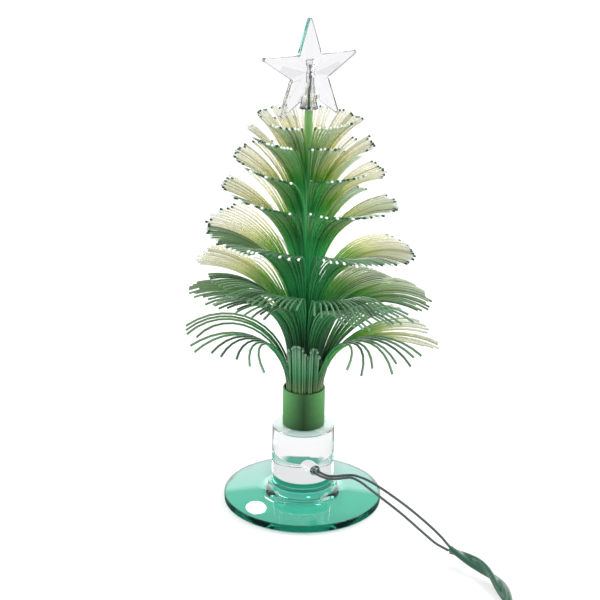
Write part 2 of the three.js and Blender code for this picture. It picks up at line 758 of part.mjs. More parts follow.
function makeStar() {
  const outline = starOutline();
  const profile = [
    new THREE.Vector2(0, -starRidgeThickness / 2),
    new THREE.Vector2(1, -starEdgeThickness / 2),
    new THREE.Vector2(1, starEdgeThickness / 2),
    new THREE.Vector2(0, starRidgeThickness / 2),
  ];
  const geometry = new THREE.LatheGeometry(profile, outline.length);
  const place = geometry.attributes.position;
  for (let i = 0; i < place.count; i += 1) {
    const corner = outline[Math.floor(i / profile.length) % outline.length];
    const reach = profile[i % profile.length].x;
    place.setXYZ(i, corner.x * reach, place.getY(i), corner.y * reach + starCentreHeight);
  }
  const bossBottom = bellTop + gap;
  const boreTop = socketTop + gap;
  const boss = cylinder(starBossRadius, bossBottom, boreTop + capThickness, 20);
  const bore = cylinder(socketSpigotRadius + gap, bossBottom - overrun, boreTop, 20);
  const seat = cylinder(socketBellRadius + gap, bellBottom, bossBottom, 24);
  return geometryOf(solidOf(geometry).add(solidOf(boss)).subtract(solidOf(bore)).subtract(solidOf(seat)));
}
const star = addMesh(part, "star_topper", makeStar(), clearPlastic);
star.rotation.z = starYaw;

export default part;
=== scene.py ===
# A fibre optic tree lamp for a table, on a plain pale floor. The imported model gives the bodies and
# the sizes. Metres, +Z up, the front towards -Y.
import math
import random

import bmesh
import bpy
from mathutils import Matrix, Vector


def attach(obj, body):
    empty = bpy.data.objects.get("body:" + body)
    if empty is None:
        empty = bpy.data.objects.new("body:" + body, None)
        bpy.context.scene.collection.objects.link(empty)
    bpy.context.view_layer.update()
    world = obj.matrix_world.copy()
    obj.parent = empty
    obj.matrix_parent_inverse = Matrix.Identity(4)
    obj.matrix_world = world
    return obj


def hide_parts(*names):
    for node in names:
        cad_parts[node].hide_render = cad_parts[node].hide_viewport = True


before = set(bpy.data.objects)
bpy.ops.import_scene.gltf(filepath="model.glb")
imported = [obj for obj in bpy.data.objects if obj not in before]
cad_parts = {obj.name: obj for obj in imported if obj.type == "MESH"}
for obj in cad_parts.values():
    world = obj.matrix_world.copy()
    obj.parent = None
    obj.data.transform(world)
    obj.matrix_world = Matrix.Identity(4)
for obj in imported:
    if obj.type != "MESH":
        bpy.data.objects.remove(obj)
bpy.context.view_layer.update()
scene = bpy.context.scene
scene.view_settings.view_transform = "Standard"


# Camera: a long lens a little above the lamp, rolled by less than a degree as in the photograph.
# It was fitted to the ellipses of the foot and the block.
camera = bpy.data.objects.new("camera", bpy.data.cameras.new("camera"))
scene.collection.objects.link(camera)
camera.data.sensor_width = 36
camera.data.lens = 102
camera.location = (-0.0022, -0.638, 0.324)
down, roll = 20.3, 0.9
camera.rotation_euler = (
    Matrix.Rotation(math.radians(90 - down), 3, "X") @ Matrix.Rotation(math.radians(roll), 3, "Z")
).to_euler()
scene.camera = camera


# Floor and light: a white table under an even sky that is darker on the camera's side, with a soft
# key from the right and behind. Glass and gloss see the floor and the back wall as plain white,
# and the green light that the foot throws on the table.
def feed(sockets, values):
    """Sets each value on its socket, and links it where it is another node's output."""
    for socket, value in zip(sockets, values):
        if isinstance(value, (float, tuple)):
            socket.default_value = value
        else:
            link(value, socket)


def figure(operation, first, second=0.0):
    """A sum with two numbers, among the nodes of the material that is being made."""
    node = nodes.new("ShaderNodeMath")
    node.operation = operation
    feed(node.inputs, (first, second))
    return node.outputs[0]


def vector_figure(operation, first, second=(0, 0, 0)):
    """A sum with two vectors."""
    node = nodes.new("ShaderNodeVectorMath")
    node.operation = operation
    feed(node.inputs, (first, second))
    return node.outputs["Value" if operation in ("LENGTH", "DOT_PRODUCT") else "Vector"]


def parts_of(vector):
    """The X, Y and Z of a vector."""
    split = nodes.new("ShaderNodeSeparateXYZ")
    link(vector, split.inputs[0])
    return tuple(split.outputs)


def step_of(source, start, stop, low=0.0, high=1.0):
    """A number that goes from low to high while the source goes from start to stop."""
    step = nodes.new("ShaderNodeMapRange")
    ends = [step.inputs[name] for name in ("From Min", "From Max", "To Min", "To Max")]
    feed(ends, (start, stop, low, high))
    link(source, step.inputs["Value"])
    return step.outputs["Result"]


def blend(share, first, second):
    """The first number at a share of 0 and the second at 1."""
    mix = nodes.new("ShaderNodeMix")
    mix.data_type = "FLOAT"
    feed([mix.inputs[name] for name in ("Factor", "A", "B")], (share, first, second))
    return mix.outputs["Result"]


def color_mix(kind, share, first, second):
    """Two colours mixed in the way named, by the share."""
    mix = nodes.new("ShaderNodeMixRGB")
    mix.blend_type = kind
    feed(mix.inputs, (share, first, second))
    return mix.outputs["Color"]


floor_level, floor_half = -0.0002, 6
floor_mesh = bpy.data.meshes.new("floor")
floor_mesh.from_pydata([(floor_half * x, floor_half * y, floor_level)
                        for x, y in ((-1, -1), (1, -1), (1, 1), (-1, 1))], [], [(0, 1, 2, 3)])
floor = bpy.data.objects.new("floor", floor_mesh)
scene.collection.objects.link(floor)
floor_white = bpy.data.materials.new("floor_white")
floor_white.use_nodes = True
nodes, link = floor_white.node_tree.nodes, floor_white.node_tree.links.new
shader = nodes["Principled BSDF"]
shader.inputs["Base Color"].default_value = (0.95, 0.95, 0.95, 1)
shader.inputs["Roughness"].default_value = 0.9
shader.inputs["Specular IOR Level"].default_value = 0.0
white = nodes.new("ShaderNodeEmission")
ray = nodes.new("ShaderNodeLightPath").outputs
place = nodes.new("ShaderNodeTexCoord").outputs["Object"]
x, y, _ = parts_of(place)
seen_by_glass = figure("MAXIMUM", ray["Is Glossy Ray"], ray["Is Transmission Ray"])
mirrored = figure("MAXIMUM", figure("SUBTRACT", ray["Is Glossy Ray"], ray["Is Transmission Ray"]), 0.0)
near_camera = step_of(y, -0.9, -0.25, 0.3, 1.0)
link(blend(seen_by_glass, 1.0, near_camera), white.inputs["Strength"])

# The green light: for what looks through the block a strip of the table behind it, bent so that it
# shows as a level band, and for what mirrors the table a skirt round the foot
block_back, unbend = 0.0126, 0.02
from_back = vector_figure("LENGTH", vector_figure("SUBTRACT", place, (0, block_back, floor_level)))
slant = figure("DIVIDE", figure("SUBTRACT", y, block_back), from_back)
row = figure("ADD", from_back, figure("MULTIPLY", figure("SUBTRACT", 1.0, slant), unbend))
band = figure("MULTIPLY", step_of(row, 0.0245, 0.0253), step_of(row, 0.0345, 0.0335))
band = figure("MULTIPLY", band, step_of(figure("ABSOLUTE", x), 0.018, 0.009))
band = figure("MULTIPLY", band, ray["Is Transmission Ray"])
from_foot = vector_figure("LENGTH", place)
skirt = figure("MULTIPLY", step_of(from_foot, 0.0325, 0.0335), step_of(from_foot, 0.075, 0.045))
skirt = figure("MULTIPLY", skirt, mirrored)
cast = color_mix("MIX", figure("ADD", band, skirt), (1, 1, 1, 1), (0.09, 0.40, 0.30, 1))
link(cast, white.inputs["Color"])

mixed = nodes.new("ShaderNodeMixShader")
own_white = figure("MAXIMUM", seen_by_glass, figure("MULTIPLY", ray["Is Camera Ray"], 0.45))
feed(mixed.inputs, (own_white, shader.outputs[0], white.outputs[0]))
link(mixed.outputs[0], nodes["Material Output"].inputs["Surface"])
floor_mesh.materials.append(floor_white)

world = bpy.data.worlds.new("sky")
world.use_nodes = True
nodes, link = world.node_tree.nodes, world.node_tree.links.new
ray = nodes.new("ShaderNodeLightPath").outputs
_, y, z = parts_of(nodes.new("ShaderNodeTexCoord").outputs["Generated"])
seen_by_glass = figure("MAXIMUM", ray["Is Glossy Ray"], ray["Is Transmission Ray"])
mirrored = figure("MAXIMUM", figure("SUBTRACT", ray["Is Glossy Ray"], ray["Is Transmission Ray"]), 0.0)
front = figure("MULTIPLY", step_of(y, -0.25, -0.7), step_of(z, 0.8, 0.5))
darker = figure("MULTIPLY", figure("MULTIPLY", front, seen_by_glass), 0.62)
wall = figure("MULTIPLY", step_of(y, 0.35, 0.55), step_of(z, 0.46, 0.43))
wall = figure("MULTIPLY", figure("MULTIPLY", wall, mirrored), 2.2)
even = figure("ADD", figure("SUBTRACT", 0.85, darker), figure("MULTIPLY", ray["Is Diffuse Ray"], 0.3))
strength = blend(ray["Is Camera Ray"], figure("ADD", even, wall), 1.0)
link(strength, nodes["Background"].inputs["Strength"])
nodes["Background"].inputs["Color"].default_value = (1, 1, 1, 1)
scene.world = world

key_light = bpy.data.objects.new("key", bpy.data.lights.new("key", "SUN"))
scene.collection.objects.link(key_light)
key_light.data.energy = 0.9
key_light.data.angle = math.radians(25)
key_light.rotation_euler = Vector((-0.55, -0.35, -1)).to_track_quat("-Z", "Y").to_euler()

for name, shape, at, towards, size, power in (
        ("window", "ELLIPSE", (-0.090, 0.687, 0.471), (-0.0196, -0.0192, 0.004), (0.042, 0.07), 0.11),
        ("box_left", "RECTANGLE", (-0.55, 0.1, 0.45), (0, 0, 0.03), (0.25, 0.5), 1.6),
        ("box_right", "RECTANGLE", (0.6, 0.05, 0.5), (0, 0, 0.03), (0.25, 0.5), 1.6)):
    light = bpy.data.objects.new(name, bpy.data.lights.new(name, "AREA"))
    scene.collection.objects.link(light)
    light.data.shape = shape
    light.data.size, light.data.size_y = size
    light.data.energy = power
    light.location = at
    light.rotation_euler = (Vector(towards) - Vector(at)).to_track_quat("-Z", "Y").to_euler()


# Foot: a disc of aqua green glass with a flared neck, pressed in one piece. Its rim wall is painted
# dark green, painted shade for where one looks along the glass, its back is painted paler green as a
# painted reflection, and the block is glued on its neck.
def turned(name, profile, steps):
    """A smooth mesh of the (radius, height) profile, in mm, turned about the Z axis."""
    build = bmesh.new()
    verts = [build.verts.new((r / 1000, 0, z / 1000)) for r, z in profile]
    edges = [build.edges.new(pair) for pair in zip(verts, verts[1:])]
    bmesh.ops.spin(build, geom=verts + edges, cent=(0, 0, 0), axis=(0, 0, 1),
                   angle=2 * math.pi, steps=steps)
    bmesh.ops.remove_doubles(build, verts=build.verts, dist=1e-7)
    bmesh.ops.recalc_face_normals(build, faces=build.faces)
    mesh = bpy.data.meshes.new(name)
    build.to_mesh(mesh)
    build.free()
    mesh.polygons.foreach_set("use_smooth", [True] * len(mesh.polygons))
    thing = bpy.data.objects.new(name, mesh)
    scene.collection.objects.link(thing)
    return thing


def creased(thing, degrees):
    thing.data.set_sharp_from_angle(angle=math.radians(degrees))


def arc(cx, cz, radius, start, end, steps):
    """Points of a profile on a part of a circle, between two angles in degrees."""
    return [(cx + radius * math.cos(math.radians(start + (end - start) * i / steps)),
             cz + radius * math.sin(math.radians(start + (end - start) * i / steps)))
            for i in range(steps + 1)]


def glass(name, color, ior=1.5, roughness=0.0):
    """Glass or clear plastic of one tint."""
    mat = bpy.data.materials.new(name)
    mat.use_nodes = True
    shader = mat.node_tree.nodes["Principled BSDF"]
    shader.inputs["Base Color"].default_value = (*color, 1)
    shader.inputs["Roughness"].default_value = roughness
    shader.inputs["IOR"].default_value = ior
    shader.inputs["Transmission Weight"].default_value = 1
    return mat


def cloud_of(vector, scale):
    """A soft noise."""
    noise = nodes.new("ShaderNodeTexNoise")
    noise.inputs["Scale"].default_value = scale
    link(vector, noise.inputs["Vector"])
    return noise.outputs["Fac"]


flare_radius, neck_radius = 18.75, 12.25
disc_top, neck_top = 4.7, 12
flare = []
for i in range(15):
    t = i / 14
    start, pull, end = (1 - t) ** 2, 2 * t * (1 - t), t * t
    flare.append((start * flare_radius + pull * neck_radius + end * neck_radius,
                  start * disc_top + pull * disc_top + end * neck_top))
rim_round = arc(32.1, 3.3, 0.4, 0, 90, 6)
foot = turned("foot_glass", [(0, 0), (31.6, 0), (32.5, 0.9)] + rim_round + flare + [(0, neck_top)], 160)
creased(foot, 40)
green_glass = glass("green_glass", (0.07, 0.56, 0.38))
nodes, link = green_glass.node_tree.nodes, green_glass.node_tree.links.new
place = nodes.new("ShaderNodeTexCoord").outputs["Object"]
_, y, z = parts_of(place)
from_middle = vector_figure("LENGTH", vector_figure("MULTIPLY", place, (1, 1, 0)))
green = color_mix("MIX", cloud_of(place, 70), (0.062, 0.54, 0.36, 1), (0.08, 0.58, 0.40, 1))
# Painted reflection: the glass is mixed to a paler green towards the back, standing in for soft light
# mirrored there.
green = color_mix("MIX", step_of(y, -0.004, 0.02), green, (0.1, 0.43, 0.36, 1))
# Painted shade: the rim wall's colour is mixed to a dark green, standing in for the dark seen looking
# along the glass.
painted_rim_shade = figure("MULTIPLY", step_of(from_middle, 0.0320, 0.0323), step_of(z, 0.0006, 0.0010))
green = color_mix("MIX", painted_rim_shade, green, (0.004, 0.15, 0.09, 1))
link(green, nodes["Principled BSDF"].inputs["Base Color"])
foot.data.materials.append(green_glass)
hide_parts("base_foot")
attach(foot, "base")


# Light block: a clear cylinder with a spigot for the collar and a bore in its side for the LED,
# turned and polished, with a satin face round the spigot. It stands on the foot's neck.
def baked(thing):
    """Gives the object a plain mesh of what its modifiers make."""
    mesh = bpy.data.meshes.new_from_object(
        thing.evaluated_get(bpy.context.evaluated_depsgraph_get()), preserve_all_data_layers=True,
        depsgraph=bpy.context.evaluated_depsgraph_get())
    mesh.name = thing.name
    thing.modifiers.clear()
    thing.data = mesh


def worked(thing, tools):
    """Joins each tool, another object, to the object or cuts it out of it."""
    for tool, way in tools:
        cut = thing.modifiers.new("cut", "BOOLEAN")
        cut.object, cut.operation, cut.solver = tool, way, "EXACT"
    baked(thing)
    for tool, way in tools:
        bpy.data.objects.remove(tool)
    thing.data.materials.clear()


def color_ramp(source, stops):
    """A colour for the source's value, between (value, colour) stops."""
    ramp = nodes.new("ShaderNodeValToRGB")
    elements = ramp.color_ramp.elements
    while len(elements) < len(stops):
        elements.new(0.5)
    for element, (at, color) in zip(elements, stops):
        element.position = at
        element.color = (*color, 1)
    link(source, ramp.inputs["Fac"])
    return ramp.outputs["Color"]


def grey(level):
    return (level, level, level)


block_side = [(0, 12.3), (12.35, 12.3), (12.75, 12.7), (12.75, 33.1)] + arc(11.85, 33.1, 0.9, 0, 90, 8)[1:]
block = turned("block_clear", block_side + [(7.7, 34), (7.7, 39.6), (7.3, 40), (0, 40)], 144)
bore_height, bore_azimuth = 0.0183, -67
drill = turned("drill", [(0, 3.55), (2.2, 3.55), (2.2, 16), (0, 16)], 48)
drill.data.transform(Matrix.Translation((0, 0, bore_height))
                     @ Matrix.Rotation(math.radians(bore_azimuth), 4, "Z")
                     @ Matrix.Rotation(math.radians(90), 4, "Y"))
worked(block, [(drill, "DIFFERENCE")])
creased(block, 40)
clear_block = glass("clear_block", (0.975, 0.985, 0.985), 1.49)
nodes, link = clear_block.node_tree.nodes, clear_block.node_tree.links.new
place = nodes.new("ShaderNodeTexCoord").outputs["Object"]
z = parts_of(place)[2]
tint = color_mix("MIX", cloud_of(place, 160), (0.97, 0.965, 0.985, 1), (0.99, 0.985, 0.99, 1))
link(tint, nodes["Principled BSDF"].inputs["Base Color"])
polish, satin = grey(1.0), grey(0.45)
clearness = color_ramp(step_of(z, 0.0330, 0.0350),
                       [(0.25, polish), (0.5, satin), (0.6, satin), (0.75, polish)])
link(clearness, nodes["Principled BSDF"].inputs["Transmission Weight"])
block.data.materials.append(clear_block)
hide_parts("light_block")
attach(block, "base")


# LED, legs and seal: a clear 3 mm LED lies in the bore with its tinned legs towards the outlet,
# where clear glue closes the bore round the wires.
def plastic(name, color, roughness, grain=0.0, scale=900.0):
    """Moulded plastic with a little mottling and a fine grain."""
    mat = bpy.data.materials.new(name)
    mat.use_nodes = True
    nodes, link = mat.node_tree.nodes, mat.node_tree.links.new
    shader = nodes["Principled BSDF"]
    place = nodes.new("ShaderNodeTexCoord")
    noise = nodes.new("ShaderNodeTexNoise")
    noise.inputs["Scale"].default_value = scale
    noise.inputs["Detail"].default_value = 4
    link(place.outputs["Object"], noise.inputs["Vector"])
    tint = nodes.new("ShaderNodeMixRGB")
    tint.inputs["Color1"].default_value = (*[c * 0.82 for c in color], 1)
    tint.inputs["Color2"].default_value = (*[min(1, c * 1.15) for c in color], 1)
    link(noise.outputs["Fac"], tint.inputs["Fac"])
    link(tint.outputs["Color"], shader.inputs["Base Color"])
    rough = nodes.new("ShaderNodeMapRange")
    rough.inputs["To Min"].default_value = roughness - 0.08
    rough.inputs["To Max"].default_value = roughness + 0.1
    link(noise.outputs["Fac"], rough.inputs["Value"])
    link(rough.outputs["Result"], shader.inputs["Roughness"])
    if grain:
        bump = nodes.new("ShaderNodeBump")
        bump.inputs["Strength"].default_value = grain
        bump.inputs["Distance"].default_value = 0.0001
        link(noise.outputs["Fac"], bump.inputs["Height"])
        link(bump.outputs["Normal"], shader.inputs["Normal"])
    return mat


def metal(name, color, roughness, grain=0.0, scale=900.0):
    mat = plastic(name, color, roughness, grain, scale)
    mat.node_tree.nodes["Principled BSDF"].inputs["Metallic"].default_value = 1
    return mat


def dress(node, material):
    """Puts the material on a node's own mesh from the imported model."""
    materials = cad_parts[node].data.materials
    materials.clear()
    materials.append(material)


epoxy = glass("led_epoxy", (0.9, 0.93, 0.9), 1.53, 0.05)
glue = glass("clear_glue", (0.88, 0.9, 0.9), 1.45, 0.12)
for mat, scale in ((epoxy, 500), (glue, 1400)):
    nodes, link = mat.node_tree.nodes, mat.node_tree.links.new
    cloud = cloud_of(nodes.new("ShaderNodeTexCoord").outputs["Object"], scale)
    tint = color_mix("MIX", cloud, (0.84, 0.87, 0.85, 1), (0.95, 0.96, 0.95, 1))
    link(tint, nodes["Principled BSDF"].inputs["Base Color"])
tin = metal("tin", (0.6, 0.6, 0.6), 0.3)
dress("led_body", epoxy)
dress("led_leg_long", tin)
dress("led_leg_short", tin)
dress("outlet_seal", glue)


# Wires: two thin grey insulated wires, soldered to the LED's legs inside the block's outlet. They
# part in a narrow loop over the table and meet again where the flex begins.
def line_object(name, points, attributes, edges=None):
    """An object whose mesh is lines through the points, in metres, with numbers for each point."""
    mesh = bpy.data.meshes.new(name)
    mesh.from_pydata(points, edges or [(i, i + 1) for i in range(len(points) - 1)], [])
    for key, values in attributes.items():
        mesh.attributes.new(key, "FLOAT", "POINT").data.foreach_set("value", values)
    thing = bpy.data.objects.new(name, mesh)
    scene.collection.objects.link(thing)
    return thing


def smooth_path(points, step):
    """Points about a step apart on a smooth curve through the given ones."""
    pts = [Vector(p) for p in points]
    pts = [2 * pts[0] - pts[1]] + pts + [2 * pts[-1] - pts[-2]]
    out = []
    for a, b, c, d in zip(pts, pts[1:], pts[2:], pts[3:]):
        count = max(1, round((c - b).length / step))
        for i in range(count):
            t = i / count
            out.append(0.5 * (2 * b + (c - a) * t + (2 * a - 5 * b + 4 * c - d) * t * t
                              + (3 * b - a - 3 * c + d) * t ** 3))
    return out + [pts[-2]]


def sweep_nodes(profile=None):
    """Geometry Nodes that sweep a tube, or the profile object, along every line of a mesh."""
    group = bpy.data.node_groups.new("sweep", "GeometryNodeTree")
    made = {}
    for key, kind, way in (("Geometry", "NodeSocketGeometry", "INPUT"),
                           ("Radius", "NodeSocketFloat", "INPUT"),
                           ("Sides", "NodeSocketInt", "INPUT"),
                           ("Material", "NodeSocketMaterial", "INPUT"),
                           ("Geometry", "NodeSocketGeometry", "OUTPUT")):
        made[key, way] = group.interface.new_socket(name=key, in_out=way, socket_type=kind).identifier
    nodes, link = group.nodes, group.links.new

    def read(attribute):
        """A number that each point of the line has."""
        reader = nodes.new("GeometryNodeInputNamedAttribute")
        reader.data_type = "FLOAT"
        reader.inputs["Name"].default_value = attribute
        return reader.outputs["Attribute"]

    start, end = nodes.new("NodeGroupInput"), nodes.new("NodeGroupOutput")
    to_curve = nodes.new("GeometryNodeMeshToCurve")
    link(start.outputs["Geometry"], to_curve.inputs["Mesh"])
    normal = nodes.new("GeometryNodeSetCurveNormal")
    if profile:
        normal.mode = "Z_UP"
    link(to_curve.outputs["Curve"], normal.inputs["Curve"])
    tilt = nodes.new("GeometryNodeSetCurveTilt")
    link(normal.outputs["Curve"], tilt.inputs["Curve"])
    link(read("tilt"), tilt.inputs["Tilt"])
    size, own_size = nodes.new("GeometryNodeSetCurveRadius"), read("size")
    link(tilt.outputs["Curve"], size.inputs["Curve"])
    link(own_size, size.inputs["Radius"])
    sweep = nodes.new("GeometryNodeCurveToMesh")
    link(size.outputs["Curve"], sweep.inputs["Curve"])
    if "Scale" in sweep.inputs:
        link(own_size, sweep.inputs["Scale"])
    if profile:
        source = nodes.new("GeometryNodeObjectInfo")
        source.inputs["Object"].default_value = profile
        loop = nodes.new("GeometryNodeMeshToCurve")
        link(source.outputs["Geometry"], loop.inputs["Mesh"])
    else:
        loop = nodes.new("GeometryNodeCurvePrimitiveCircle")
        link(start.outputs["Radius"], loop.inputs["Radius"])
        link(start.outputs["Sides"], loop.inputs["Resolution"])
    link(loop.outputs["Curve"], sweep.inputs["Profile Curve"])
    sweep.inputs["Fill Caps"].default_value = True
    smooth = nodes.new("GeometryNodeSetShadeSmooth")
    link(sweep.outputs["Mesh"], smooth.inputs["Geometry"])
    real = nodes.new("GeometryNodeRealizeInstances")
    link(smooth.outputs["Geometry"], real.inputs["Geometry"])
    paint = nodes.new("GeometryNodeSetMaterial")
    link(real.outputs["Geometry"], paint.inputs["Geometry"])
    link(start.outputs["Material"], paint.inputs["Material"])
    link(paint.outputs["Geometry"], end.inputs["Geometry"])
    return group, made


def swept(thing, radius, sides, material, profile=None):
    """Gives the object a plain mesh of a tube, or of the profile, along its lines."""
    group, key = sweep_nodes(profile)
    mod = thing.modifiers.new("sweep", "NODES")
    mod.node_group = group
    mod[key["Radius", "INPUT"]] = radius
    mod[key["Sides", "INPUT"]] = sides
    mod[key["Material", "INPUT"]] = material
    baked(thing)


wire_route = [
    (4.6, -10.9, 18.3), (5.1, -12.0, 18.3), (5.9, -13.4, 18.2), (8.0, -14.9, 17.7),
    (10.8, -15.5, 17.1), (14.0, -15.2, 17.0), (17.2, -14.7, 17.2), (20.5, -15.5, 17.6),
    (24.1, -18.6, 17.6), (27.8, -22.8, 17.1), (33.4, -28.9, 15.7), (40.7, -36.3, 13.2),
    (48.0, -44.6, 10.3), (52.8, -50.0, 8.1), (55.4, -52.4, 6.9), (57.2, -53.9, 6.05),
]
wire_spread = [0.36] * 7 + [0.38, 0.55, 0.76, 0.9, 0.98, 1.02, 0.92, 0.62, 0.36]
apart_sideways, apart_upwards = 3.9, 1.4

wire_grey = plastic("wire_grey", (0.075, 0.088, 0.092), 0.55, 0.15, 2500)
wire_grey.node_tree.nodes["Principled BSDF"].inputs["Specular IOR Level"].default_value = 0.2

for name, side in (("wire_front", -1), ("wire_back", 1)):
    points = []
    for i, p in enumerate(wire_route):
        before, after = wire_route[max(i - 1, 0)], wire_route[min(i + 1, len(wire_route) - 1)]
        left = Vector((before[1] - after[1], after[0] - before[0], 0)).normalized()
        half = side * wire_spread[i] / 2
        aside = left * half * apart_sideways + Vector((0, 0, half * apart_upwards))
        points.append((Vector(p) + aside) / 1000)
    route = smooth_path(points, 0.0006)
    wire = line_object(name + "_sleeve", route, {"size": [1.0] * len(route)})
    swept(wire, 0.0005, 14, wire_grey)
    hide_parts(name)
    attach(wire, "base")


# Flex: two green PVC cores moulded side by side, twisted where they show, then wound into a
# two-layer coil that lies on the table in a tie, and on to the plug.
lead_route = [
    (57.5, -54.15, 5.95), (60.4, -55.9, 5.4), (64.0, -59.0, 4.8), (67.5, -62.6, 4.3),
    (70.6, -66.9, 3.9), (73.0, -71.6, 3.5), (74.6, -76.3, 3.1), (75.9, -81.6, 2.8),
    (76.9, -86.4, 2.6), (77.6, -92.0, 2.3), (78.1, -99.0, 2.1), (78.5, -106.0, 2.0),
    (78.8, -114.0, 2.0), (79.0, -121.0, 2.0), (79.0, -128.2, 2.0),
]
tail_route = [
    (11.0, -125.4, 4.8), (11.0, -120.6, 4.3), (10.1, -115.4, 3.7), (7.5, -111.5, 3.3),
    (3.6, -108.9, 3.4), (0.4, -108.1, 3.8), (-1.6, -108.0, 4.2), (-3.7, -108.0, 4.2),
]
coil_turns, coil_outer, coil_pitch = 5.5, 34.0, 5.3
coil_x, coil_y, lower_layer, layer_gap = 45, -133, 2.0, 2.9
coil_start, coil_end = (79.0, -128.5, 2.0), (11.0, -128.5, 4.9)
steps_per_turn = 40
coil_route = [coil_start]
for i in range(int(coil_turns * steps_per_turn) + 1):
    turn = i / steps_per_turn
    radius = coil_outer - coil_pitch * (coil_turns / 2 - abs(turn - coil_turns / 2))
    rise = min(1, max(0, (turn - coil_turns / 2) / 0.5 + 0.5))
    angle = -2 * math.pi * turn
    coil_route.append((coil_x + radius * math.cos(angle), coil_y + radius * math.sin(angle),
                       lower_layer + layer_gap * rise * rise * (3 - 2 * rise)))
coil_route.append(coil_end)
lead = smooth_path([Vector(p) / 1000 for p in lead_route], 0.0008)
wound = smooth_path([Vector(p) / 1000 for p in coil_route], 0.0016)
tail = smooth_path([Vector(p) / 1000 for p in tail_route], 0.0012)
flex_line = lead + wound[1:] + tail
run, walked = [0.0], 0.0
for a, b in zip(flex_line, flex_line[1:]):
    walked += (b - a).length
    run.append(walked)
twisted_part, half_turn, first_tilt, settling = 0.052, 0.0195, -54, 0.08
tilts = [math.pi * min(s, twisted_part) / half_turn + math.radians(first_tilt) for s in run]
lying_flat = math.pi * round(tilts[-1] / math.pi)
tilts = [t + (lying_flat - tilts[-1]) * min(1, s / settling) for t, s in zip(tilts, run)]

core_radius, core_arc = 1.2, 125
outline = []
for side in (1, -1):
    for i in range(11):
        angle = math.radians(-core_arc + 2 * core_arc * i / 10)
        outline.append((side * (core_radius + core_radius * math.cos(angle)) / 1000,
                        side * core_radius * math.sin(angle) / 1000, 0))
section = bpy.data.meshes.new("flex_section")
section.from_pydata(outline, [(i, (i + 1) % len(outline)) for i in range(len(outline))], [])
section_object = bpy.data.objects.new("flex_section", section)
scene.collection.objects.link(section_object)

flex_green = plastic("flex_green", (0.016, 0.085, 0.048), 0.3, 0.1, 1500)
flex = line_object("flex_cable", flex_line, {"size": [1.0] * len(flex_line), "tilt": tilts})
swept(flex, 1.0, 8, flex_green, section_object)
bpy.data.objects.remove(section_object)
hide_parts("flex_lead", "flex_coil", "flex_tail")
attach(flex, "base")


# Tie and plug: a soft strap closed round the coil, and a moulded green plug with a plated shell,
# a white tongue and four gilt contacts, moulded on the end of the flex.
dark_green = plastic("dark_green_plastic", (0.022, 0.085, 0.055), 0.5, 0.35, 1200)
for node in ("coil_tie", "plug_relief", "plug_body"):
    dress(node, dark_green)
dress("plug_shell", metal("plated_steel", (0.62, 0.62, 0.61), 0.25, 0.05, 700))
dress("plug_tongue", plastic("white_plastic", (0.78, 0.78, 0.75), 0.5, 0.1, 1500))
contact_gold = metal("contact_gold", (0.78, 0.55, 0.2), 0.25, 0.05, 900)
for i in range(1, 5):
    dress("plug_contact_%d" % i, contact_gold)


# Collar: a short sleeve of green plastic. Its colour carries painted light and shade: lighter at its
# sides, where the light falls, darker at its front and lighter towards its top. It pushes over the block's
# spigot and holds the bundle of fibres.
collar = turned("collar_sleeve", [(8.0, 34.3)] + arc(8.3, 34.6, 0.3, -90, 0, 4) + [(8.6, 50.2)]
                + arc(8.3, 50.2, 0.3, 0, 90, 4) + [(8.0, 50.5), (8.0, 34.3)], 96)
creased(collar, 50)
collar_green = plastic("collar_green", (0.05, 0.17, 0.05), 0.5, 0.2, 700)
nodes, link = collar_green.node_tree.nodes, collar_green.node_tree.links.new
shader = nodes["Principled BSDF"]
shader.inputs["Specular IOR Level"].default_value = 0.2
mottled = shader.inputs["Base Color"].links[0].from_socket
place = nodes.new("ShaderNodeTexCoord").outputs
z = parts_of(place["Object"])[2]
facing_x = parts_of(place["Normal"])[0]
# Painted light and shade: the colour is made lighter towards the top and, by the way the surface faces,
# lighter at the sides and darker at the front.
upwards = step_of(z, 0.035, 0.0495, 0.7, 1.35)
sideways = step_of(figure("ABSOLUTE", facing_x), 0.0, 1.0, 0.32, 1.45)
painted_collar_light = color_mix("MULTIPLY", 1.0, mottled, figure("MULTIPLY", upwards, sideways))
link(painted_collar_light, shader.inputs["Base Color"])
collar.data.materials.append(collar_green)
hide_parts("collar")
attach(collar, "tree")


# End of the bundle and stem: the fibres' ends, cut and polished over the block, and a light green
# plastic rod glued in the middle of the bundle, with a pin at its top for the socket.
dress("bundle_end", plastic("fibre_ends", (0.42, 0.52, 0.22), 0.3, 0.4, 1100))
stem_rod = [(0, 46.3), (1.6, 46.3), (1.6, 166.6), (1.2, 167)]
stem_pin = [(0.6, 167), (0.6, 183.4), (0.3, 183.7), (0, 183.7)]
stem = turned("stem", stem_rod + stem_pin, 32)
creased(stem, 35)
stem.data.materials.append(plastic("stem_green", (0.2, 0.42, 0.13), 0.3, 0.1, 500))
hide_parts("stem_rod")
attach(stem, "tree")


